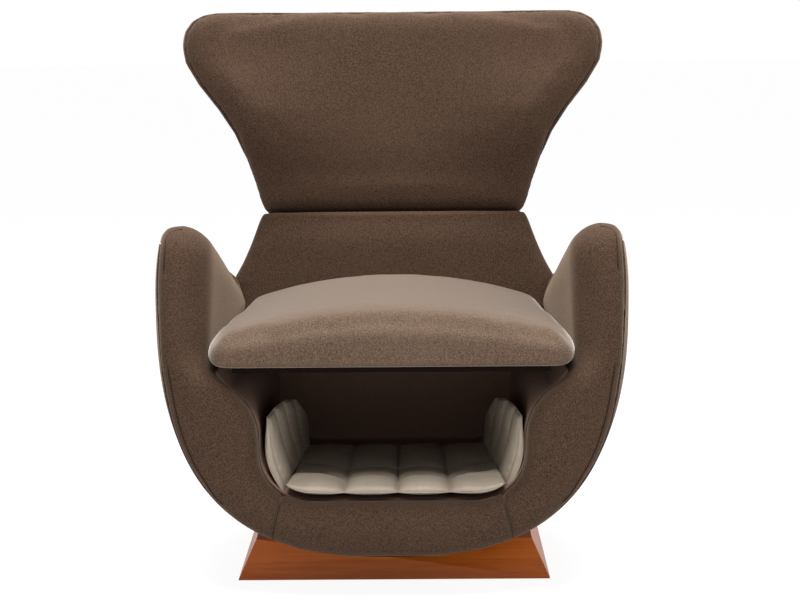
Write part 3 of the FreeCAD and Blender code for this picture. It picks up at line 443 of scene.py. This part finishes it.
WELT_RADIUS = 0.0012
WELT_MIDDLE = 0.40
WELT_DEEP = 0.012
WELT_INSET = 0.006
WELT_LIFT = 0.0006
WELT_START = -40.0
WELT_SWEEP = 72.0
WELT_STEPS = 110
RING_REACH = (0.25, 0.55)
skins = [BVHTree.FromObject(bpy.data.objects[name], bpy.context.evaluated_depsgraph_get())
         for name in ("left_arm_cover", "right_arm_cover", "lip_cover")]


def ring_front(x, z):
    """The place on the front of the ring behind a point of the front view, if there is one."""
    hits = [skin.ray_cast(Vector((x, -1.0, z)), Vector((0, 1, 0)), 1.2)[0] for skin in skins]
    hits = [hit for hit in hits if hit is not None]
    hits = [hit for hit in hits if under_face(hit.y, hit.z) < WELT_DEEP]
    return min(hits, key=lambda hit: hit.y) if hits else None


for word, side in (("left", -1), ("right", 1)):
    path = []
    for i in range(WELT_STEPS + 1):
        angle = math.radians(WELT_START + WELT_SWEEP * i / WELT_STEPS)
        ray = Vector((math.cos(angle) * side, math.sin(angle)))
        low, high = RING_REACH
        for halving in range(14):
            reach = (low + high) / 2
            if ring_front(ray.x * reach, WELT_MIDDLE + ray.y * reach) is None:
                high = reach
            else:
                low = reach
        reach = low - WELT_INSET
        spot = ring_front(ray.x * reach, WELT_MIDDLE + ray.y * reach)
        if spot is not None:
            path.append(spot)
    for rounds in range(4):
        threes = zip(path, path[1:], path[2:])
        path[1:-1] = [(before + 2 * here + after) / 4 for before, here, after in threes]
    path = [spot + Vector((0, -WELT_LIFT, 0)) for spot in path]
    welt = tube("%s_ring_welt" % word, path, WELT_RADIUS)
    welt.data.materials.append(seam_shade_wool)
    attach(welt, "tub")

# Nest lining: plain matt cotton glued to the padding, darker along its front edge as painted shade
# where it turns under the ring. The seat board above it is covered in near black cloth, a painted
# shade under the seat.
LINING_EDGE = -0.319
LINING_EDGE_SHADE = 0.005
cotton = Finish("Dark brown cotton", 0.95)
thread = cotton.cloud(300.0, 2.0)
# Darker band along the lining's front edge: painted shade, not a tape.
edge_shade = cotton.grade(cotton.along("Y"), LINING_EDGE + LINING_EDGE_SHADE, LINING_EDGE)
woven = cotton.blend(thread, tint(138, 108, 92), tint(164, 132, 114))
cotton.feed("Base Color", cotton.blend(edge_shade, woven, tint(68, 51, 40)))
cotton.bump(thread, 0.2, 0.0006)
lining = wrapped(own_mesh("nest_lining_cloth", ["nest_liner"]), 0.0036, 5)
dressed(lining, cotton.material, "tub", ["nest_liner"])
# The seat board's cloth is near black as painted shade under the seat's front.
under_seat_shade = Finish("Near black cloth, painted shade under the seat", 0.95, Specular_IOR_Level=0.1)
under_seat_shade.plain(tint(34, 26, 23))
under_seat_shade.bump(under_seat_shade.cloud(600.0, 2.0), 0.2, 0.0005)
finished("seat_board", under_seat_shade.material)

# Seat cushion: a foam core in a wool cover, crowned like a lens, with a flat underside and
# rounded front corners. It lies on the seat board and stands out a little over the ring.
FILLING_PRESSURE = 4.0
FILLING_FRAMES = 20
FILLING_SHRINK = -0.03
FILLING_DRAWN = 14
FILLING_PINNED = 0.95


def plumped(piece, reach, held):
    """Fills the cover: a cloth blown up from inside, held where it is fixed, that may move out
    by the reach and not in."""
    start = [(v.co.copy(), v.normal.copy()) for v in piece.data.vertices]
    fixed = piece.vertex_groups.new(name="fixed")
    for vertex in piece.data.vertices:
        fixed.add([vertex.index], float(held(vertex.co) > FILLING_PINNED), "REPLACE")
    bpy.context.scene.frame_set(1)
    cloth = piece.modifiers.new("Filling", "CLOTH")
    cloth.settings.use_pressure = True
    cloth.settings.uniform_pressure_force = FILLING_PRESSURE
    cloth.settings.shrink_min = FILLING_SHRINK
    cloth.settings.effector_weights.gravity = 0.0
    cloth.settings.quality = 4
    cloth.settings.vertex_group_mass = "fixed"
    cloth.point_cache.frame_start = 1
    cloth.point_cache.frame_end = FILLING_FRAMES
    for step in range(1, FILLING_FRAMES + 1):
        bpy.context.scene.frame_set(step)
    settle(piece)
    piece.vertex_groups.clear()
    free = piece.vertex_groups.new(name="free")
    for vertex, (home, out) in zip(piece.data.vertices, start):
        travel = vertex.co - home
        rise = min(max(travel.dot(out), 0.0), reach)
        vertex.co = home + out * rise * (1.0 - held(home))
        free.add([vertex.index], 1.0 - held(home), "REPLACE")
    bpy.context.scene.frame_set(1)
    drawn = piece.modifiers.new("Drawn", "SMOOTH")
    drawn.factor = 0.5
    drawn.iterations = FILLING_DRAWN
    drawn.vertex_group = "free"
    fine = piece.modifiers.new("Fine", "SUBSURF")
    fine.levels = 1
    fine.render_levels = 1
    settle(piece)
    for face in piece.data.polygons:
        face.use_smooth = True


SEAT_FILL = 0.011
SEAT_WIDER = 1.012
SEAT_TAPER = 0.05
SEAT_TAPER_RUN = (-0.3, 0.1)
SEAT_HELD = (0.404, 0.394)
# The seat has its own lighter copy of the brown wool: painted light for the light its top and
# front catch.
lit_seat_wool = felted("Heathered wool painted lighter for the lit seat", tint(74, 58, 48), tint(118, 98, 83), 1.0,
                   tint(255, 244, 230))
seat = wrapped(own_mesh("seat_cover", ["seat_cushion", "seat_core"]), 0.006, 10)
for vertex in seat.data.vertices:
    vertex.co.x *= SEAT_WIDER - SEAT_TAPER * faded(vertex.co.y, *SEAT_TAPER_RUN)
plumped(seat, SEAT_FILL, lambda at: faded(at.z, *SEAT_HELD))
dressed(seat, lit_seat_wool, "tub", ["seat_cushion"])

# Lower back: a plywood board with foam and wool over it, with a hollow along its top in
# which the round foot of the wing back turns.
BACK_LIP = 0.588
BACK_LIP_SHARE = 0.2
BACK_LIP_REAR = 0.232
BACK_FLARE = 0.009
BACK_FLARE_TOP = 0.545
BACK_FLARE_RUN = 0.08
BACK_HALF = 0.29
BACK_FILL = 0.005
BACK_HELD_UP = (0.53, 0.585)
BACK_HELD_BEHIND = (0.165, 0.2)
BACK_RAKE = 0.3
BACK_RAKE_Z = 0.475


def back_held(at):
    """Where the lower back's cover is fixed: towards its top and behind its front."""
    behind = at.y - (at.z - BACK_RAKE_Z) * BACK_RAKE
    return max(faded(at.z, *BACK_HELD_UP), faded(behind, *BACK_HELD_BEHIND))


back = wrapped(own_mesh("lower_back_cover", ["lower_back_pad"]), 0.005, 10)
for vertex in back.data.vertices:
    x, y, z = vertex.co
    if z > BACK_LIP and y < BACK_LIP_REAR:
        vertex.co.z = BACK_LIP + (z - BACK_LIP) * BACK_LIP_SHARE
    low = min(max((BACK_FLARE_TOP - z) / BACK_FLARE_RUN, 0.0), 1.0)
    flare = BACK_FLARE * low ** 2 * min(abs(x) / BACK_HALF, 1.0) ** 4
    vertex.co.x += math.copysign(flare, x)
plumped(back, BACK_FILL, back_held)
dressed(back, wool, "tub", ["lower_back_pad"])
rear_panel = own_mesh("lower_back_rear_panel", ["lower_back_rear_cover"])
wrapped(rear_panel, 0.004, 6)
dressed(rear_panel, wool, "tub", ["lower_back_rear_cover"])

# Wing back: thick foam on a bent board, covered in wool in front and round its foot, with a
# rear panel sewn to it along the middle of its edge.
HINGE = (0.239, 0.626)
HINGE_SIDE = 0.152
FOOT_RADIUS = 0.0445
FOOT_FILL = 0.03
WING_FILL = 0.005
WING_HELD_DOWN = (0.72, 0.65)
WING_HELD_BEHIND = (0.2, 0.24)
WING_RAKE = 0.34
WING_RAKE_Z = 0.64


def wing_held(at):
    """Where the wing's cover is fixed: at its foot and behind its front."""
    behind = at.y - (at.z - WING_RAKE_Z) * WING_RAKE
    return max(faded(at.z, *WING_HELD_DOWN), faded(behind, *WING_HELD_BEHIND))


wing = own_mesh("wing_cover", ["wing_pad"])
work = bmesh.new()
work.from_mesh(wing.data)
for side in (-1, 1):
    foot = bmesh.ops.create_cone(work, cap_ends=True, segments=48, radius1=FOOT_RADIUS,
                                 radius2=FOOT_RADIUS, depth=FOOT_FILL)["verts"]
    bmesh.ops.rotate(work, verts=foot, cent=(0, 0, 0), matrix=Matrix.Rotation(math.pi / 2, 3, "Y"))
    bmesh.ops.scale(work, verts=foot, vec=(1, 0.5, 1))
    place = (HINGE_SIDE * side, HINGE[0] - FOOT_RADIUS / 2, HINGE[1])
    bmesh.ops.translate(work, verts=foot, vec=place)
    for vertex in foot:
        drop = (vertex.co.z - HINGE[1]) / FOOT_RADIUS
        front = HINGE[0] - FOOT_RADIUS * math.sqrt(max(1 - drop * drop, 0.0))
        if vertex.co.y < HINGE[0] - FOOT_RADIUS / 2:
            vertex.co.y = front
        else:
            vertex.co.y = HINGE[0] - 0.002
work.to_mesh(wing.data)
work.free()
wrapped(wing, 0.005, 10)
plumped(wing, WING_FILL, wing_held)
dressed(wing, wool, "wing_back", ["wing_pad"])
wing_rear = wrapped(own_mesh("wing_rear_panel", ["wing_rear_cover"]), 0.004, 12)
dressed(wing_rear, wool, "wing_back", ["wing_rear_cover"])

# Nest mat floor: four stuffed blocks of taupe coated cloth, quilted across in rows and sewn
# together along their sides, with a thin piping round the front edge.
MAT_MIDDLE = 0.005
MAT_FRONT = -0.323
MAT_BACK = 0.048
MAT_FRONT_HALF = 0.180
MAT_BACK_HALF = 0.164
MAT_BED = 0.1656
MAT_SCALLOP = 0.008
MAT_LIFT = 0.0085
PIPING_RADIUS = 0.0013
QUILT_CREASE = 0.0022
NEST_FLAT = 0.140
NEST_BEND = 0.078
quilt = Finish("Taupe coated cloth", 0.46, Specular_IOR_Level=0.45)
grain = quilt.cloud(900.0, 3.0)
worn = quilt.cloud(30.0, 3.0)
quilt.feed("Base Color", quilt.blend(worn, tint(166, 152, 136), tint(194, 180, 162)))
quilt.bump(grain * 0.4 + worn * 1.5, 0.2, 0.0008)


def puff(across):
    """Height of a stuffed cell at a place from -1 to 1 between two seams."""
    return max(1 - abs(across) ** 2.4, 0.0) ** 0.5


def between(place, marks):
    """The cell a place lies in, and where in it, from -1 to 1."""
    for cell in range(len(marks) - 1):
        if place <= marks[cell + 1] or cell == len(marks) - 2:
            low, high = marks[cell], marks[cell + 1]
            return cell, min(max(2 * (place - low) / (high - low) - 1, -1), 1)


def creases(place, along, seed):
    """Small puckers that die out away from a seam."""
    return math.exp(-(1 - abs(place)) * 3.5) * noise.noise(Vector((*along, seed)))


def quilted(name, place, columns, rows, thick, size, counts):
    """A stuffed panel: two skins that meet in the seams; place gives a point and the way out."""
    work = bmesh.new()
    across, along = counts
    for side in (1, -1):
        grid = []
        for i in range(across + 1):
            u = 0.5 - 0.5 * math.cos(math.pi * i / across)
            u = 0.65 * i / across + 0.35 * u
            line = []
            for j in range(along + 1):
                v = 0.65 * j / along + 0.35 * (0.5 - 0.5 * math.cos(math.pi * j / along))
                column, s = between(u, columns(v))
                row, r = between(v, rows(u))
                point, out = place(u, v)
                fill = puff(s) * puff(r)
                height = thick(column, row, side) * fill
                if side > 0:
                    creased = creases(s, (u * 9, v * size[1] * 150), 3.0)
                    creased += creases(r, (u * size[0] * 150, v * 9), 8.0)
                    height += QUILT_CREASE * creased * min(fill * 2, 1)
                line.append(work.verts.new(point + out * side * height))
            grid.append(line)
        for i in range(across):
            for j in range(along):
                corners = (grid[i][j], grid[i + 1][j], grid[i + 1][j + 1], grid[i][j + 1])
                work.faces.new(corners if side > 0 else corners[::-1])
    bmesh.ops.remove_doubles(work, verts=work.verts, dist=0.00005)
    bmesh.ops.recalc_face_normals(work, faces=work.faces)
    for face in work.faces:
        face.smooth = True
    return made(name, work)


def bed(x):
    """Height of the nest's floor, which bends up towards its sides."""
    beyond = min(max(abs(x) - NEST_FLAT, 0.0), NEST_BEND)
    return MAT_BED + NEST_BEND - math.sqrt(NEST_BEND ** 2 - beyond ** 2)


def floor_place(u, v):
    """A point of the mat's floor, u from left to right and v from front to back."""
    half = MAT_FRONT_HALF + (MAT_BACK_HALF - MAT_FRONT_HALF) * v
    x = MAT_MIDDLE + half * (2 * u - 1)
    y = MAT_FRONT + (MAT_BACK - MAT_FRONT) * v
    front = max(1 - 8 * v, 0.0)
    y -= MAT_SCALLOP * (puff(between(u, floor_columns(v))[1]) - 0.5) * front
    curled = 0.006 * max(-(x + 0.09) / 0.09, 0.0) ** 2 * max(1 - 3 * v, 0.0)
    lifted = curled + 0.0035 * front
    return Vector((x, y, bed(x) + MAT_LIFT + lifted)), Vector((0, 0, 1))


def floor_rows(u):
    slant = 0.125 * (max(0.25 - u, 0.0) + max(u - 0.75, 0.0)) / 0.25
    return [0.0, 0.225 + slant, 0.46 + slant, 1.0]


def floor_columns(v):
    return [0.0, 0.262, 0.508, 0.748, 1.0]


def floor_thickness(column, row, side):
    return (0.0195, 0.0125, 0.0135)[row] if side > 0 else 0.0078


mat_floor = quilted("quilted_floor", floor_place, floor_columns, floor_rows, floor_thickness,
                    (0.36, 0.36), (150, 130))
dressed(mat_floor, quilt.material, "nest_mat", ["mat_floor_cushions"])
front_edge = [floor_place(i / 120, 0.0)[0] + Vector((0, -0.0006, 0)) for i in range(121)]
piping = tube("mat_front_piping", front_edge, PIPING_RADIUS)
piping.data.materials.append(quilt.material)
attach(piping, "nest_mat")

# Mat flaps: the same cloth, standing up along the sides of the nest in five pleats that fan
# out from the seam with the floor, with a piped edge in front and along the top.
FLAP_FOOT = ((-0.183, -0.304, 0.1745), (-0.160, 0.034, 0.1760))
FLAP_TOP = ((0.0, -0.2085, -0.300, 0.262), (0.07, -0.2085, -0.290, 0.297),
            (0.22, -0.200, -0.240, 0.3035), (0.5, -0.188, -0.150, 0.299),
            (0.72, -0.176, -0.050, 0.280), (0.9, -0.167, 0.018, 0.245),
            (1.0, -0.161, 0.036, 0.212))
FLAP_BELLY = 0.010
FLAP_PLEAT_FEET = (0.0, 0.07, 0.36, 0.60, 0.80, 1.0)
FLAP_PLEAT_TOPS = (0.0, 0.06, 0.20, 0.42, 0.66, 1.0)


def flap_top(u):
    """The flap's top edge, u from front to back."""
    for low, high in zip(FLAP_TOP, FLAP_TOP[1:]):
        if u <= high[0]:
            share = (u - low[0]) / (high[0] - low[0])
            return Vector(low[1:]).lerp(Vector(high[1:]), share)
    return Vector(FLAP_TOP[-1][1:])


def flap_place(side):
    def place(u, v):
        foot = Vector(FLAP_FOOT[0]).lerp(Vector(FLAP_FOOT[1]), u)
        point = foot.lerp(flap_top(u), v)
        point.x -= FLAP_BELLY * math.sin(math.pi * v) * (1 - 0.6 * u)
        point.x = point.x * -side + MAT_MIDDLE * (1 if side > 0 else 0.4)
        out = Vector((-side, -0.12, 0.16)).normalized()
        return point, out
    return place


def pleat_lines(v):
    return [foot + (top - foot) * v for foot, top in zip(FLAP_PLEAT_FEET, FLAP_PLEAT_TOPS)]


def flap_rows(u):
    return [0.0, 1.0]


def flap_thickness(column, row, side):
    return (0.0075, 0.0125, 0.012, 0.0115, 0.0115)[column] if side > 0 else 0.004


for word, side in (("left", -1), ("right", 1)):
    flap = quilted("quilted_%s_flap" % word, flap_place(side), pleat_lines, flap_rows,
                   flap_thickness, (0.34, 0.12), (130, 56))
    dressed(flap, quilt.material, "nest_mat", ["mat_%s_flap" % word])
    place = flap_place(side)
    edge = [place(0.0, i / 30)[0] for i in range(31)]
    edge += [place(i / 80, 1.0)[0] for i in range(1, 81)]
    piping = tube("mat_%s_piping" % word, edge, PIPING_RADIUS)
    piping.data.materials.append(quilt.material)
    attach(piping, "nest_mat")

# Floor: a pale plain studio floor that runs back to a white surround.
FLOOR_REACH = 60.0
FLOOR_GLOW = 1.16
FLOOR_GLOW_SHARE = 0.8
pale = Finish("Pale floor", 0.9)
pale.plain((0.86, 0.86, 0.86, 1.0))
glow = pale.node("ShaderNodeEmission", sockets={"Color": (1, 1, 1, 1), "Strength": FLOOR_GLOW})
seen = pale.node("ShaderNodeLightPath", out="Is Camera Ray")
mirrored = pale.node("ShaderNodeLightPath", out="Is Glossy Ray")
either = pale.node("ShaderNodeMath", {"operation": "MAXIMUM"}, {0: seen, 1: mirrored})
lit = Wire(pale, pale.shader.outputs["BSDF"])
mixed = pale.node("ShaderNodeMixShader", sockets={0: either * FLOOR_GLOW_SHARE, 1: lit, 2: glow})
pale.tree.links.new(mixed.socket, pale.output.inputs["Surface"])
work = bmesh.new()
bmesh.ops.create_grid(work, x_segments=1, y_segments=1, size=FLOOR_REACH)
floor = made("floor", work)
floor.data.materials.append(pale.material)

# Light: a broad soft lamp above and a little behind, a smaller one in front that fills the
# arms and the nest, a weak one at the right, and a white surround that lifts the shadows.
SURROUND_LIGHT = 0.34
world = bpy.data.worlds.new("Studio")
bpy.context.scene.world = world
world.use_nodes = True
sky = world.node_tree
sky.nodes.clear()
plain = sky.nodes.new("ShaderNodeBackground")
plain.inputs["Color"].default_value = (1, 1, 1, 1)
plain.inputs["Strength"].default_value = SURROUND_LIGHT
white = sky.nodes.new("ShaderNodeBackground")
white.inputs["Color"].default_value = (1, 1, 1, 1)
white.inputs["Strength"].default_value = 1.0
rays = sky.nodes.new("ShaderNodeLightPath")
either = sky.nodes.new("ShaderNodeMath")
either.operation = "MAXIMUM"
chosen = sky.nodes.new("ShaderNodeMixShader")
surround = sky.nodes.new("ShaderNodeOutputWorld")
sky.links.new(rays.outputs["Is Camera Ray"], either.inputs[0])
sky.links.new(rays.outputs["Is Transmission Ray"], either.inputs[1])
sky.links.new(either.outputs[0], chosen.inputs[0])
sky.links.new(plain.outputs[0], chosen.inputs[1])
sky.links.new(white.outputs[0], chosen.inputs[2])
sky.links.new(chosen.outputs[0], surround.inputs["Surface"])


def lamp(name, place, aim, size, power):
    """A rectangular lamp that faces a point."""
    light = bpy.data.lights.new(name, "AREA")
    light.shape = "RECTANGLE"
    light.size = size[0]
    light.size_y = size[1]
    light.energy = power
    holder = bpy.data.objects.new(name, light)
    bpy.context.scene.collection.objects.link(holder)
    holder.location = place
    holder.rotation_euler = (Vector(aim) - Vector(place)).to_track_quat("-Z", "Y").to_euler()


lamp("overhead", (0.0, 0.6, 2.9), (0.0, 0.0, 0.4), (2.6, 1.2), 110.0)
lamp("front", (0.0, -1.9, 2.9), (0.0, 0.0, 0.3), (1.0, 0.6), 56.0)
lamp("right_side", (2.6, -1.0, 1.9), (0.0, 0.0, 0.5), (1.4, 1.4), 8.0)

# Camera: where the photograph was taken from, a little above the seat and tipped down.
CAMERA_DISTANCE = 3.357
CAMERA_HEIGHT = 0.921
CAMERA_SIDE = 0.012
CAMERA_TURN = 0.5
CAMERA_DIP = 7.97
CAMERA_ROLL = -0.5
SENSOR = 36.0
LENS_PIXELS = 1893.0
PICTURE_WIDTH = 800.0
turn = math.radians(CAMERA_TURN)
dip = math.radians(CAMERA_DIP)
lens = bpy.data.cameras.new("photo_camera")
lens.sensor_width = SENSOR
lens.lens = SENSOR * LENS_PIXELS / PICTURE_WIDTH
lens.clip_start = 0.05
lens.clip_end = 500.0
camera = bpy.data.objects.new("photo_camera", lens)
bpy.context.scene.collection.objects.link(camera)
camera.location = (CAMERA_SIDE + CAMERA_DISTANCE * math.sin(turn),
                   -CAMERA_DISTANCE * math.cos(turn), CAMERA_HEIGHT)
gaze = Vector((-math.sin(turn) * math.cos(dip), math.cos(turn) * math.cos(dip), -math.sin(dip)))
right = Vector((math.cos(turn), math.sin(turn), 0.0))
above = right.cross(gaze)
roll = math.radians(CAMERA_ROLL)
tilted_right = right * math.cos(roll) + above * math.sin(roll)
tilted_up = above * math.cos(roll) - right * math.sin(roll)
facing = Matrix((tilted_right, tilted_up, -gaze)).transposed()
camera.rotation_euler = facing.to_euler()
bpy.context.scene.camera = camera
bpy.context.scene.view_settings.view_transform = "Standard"
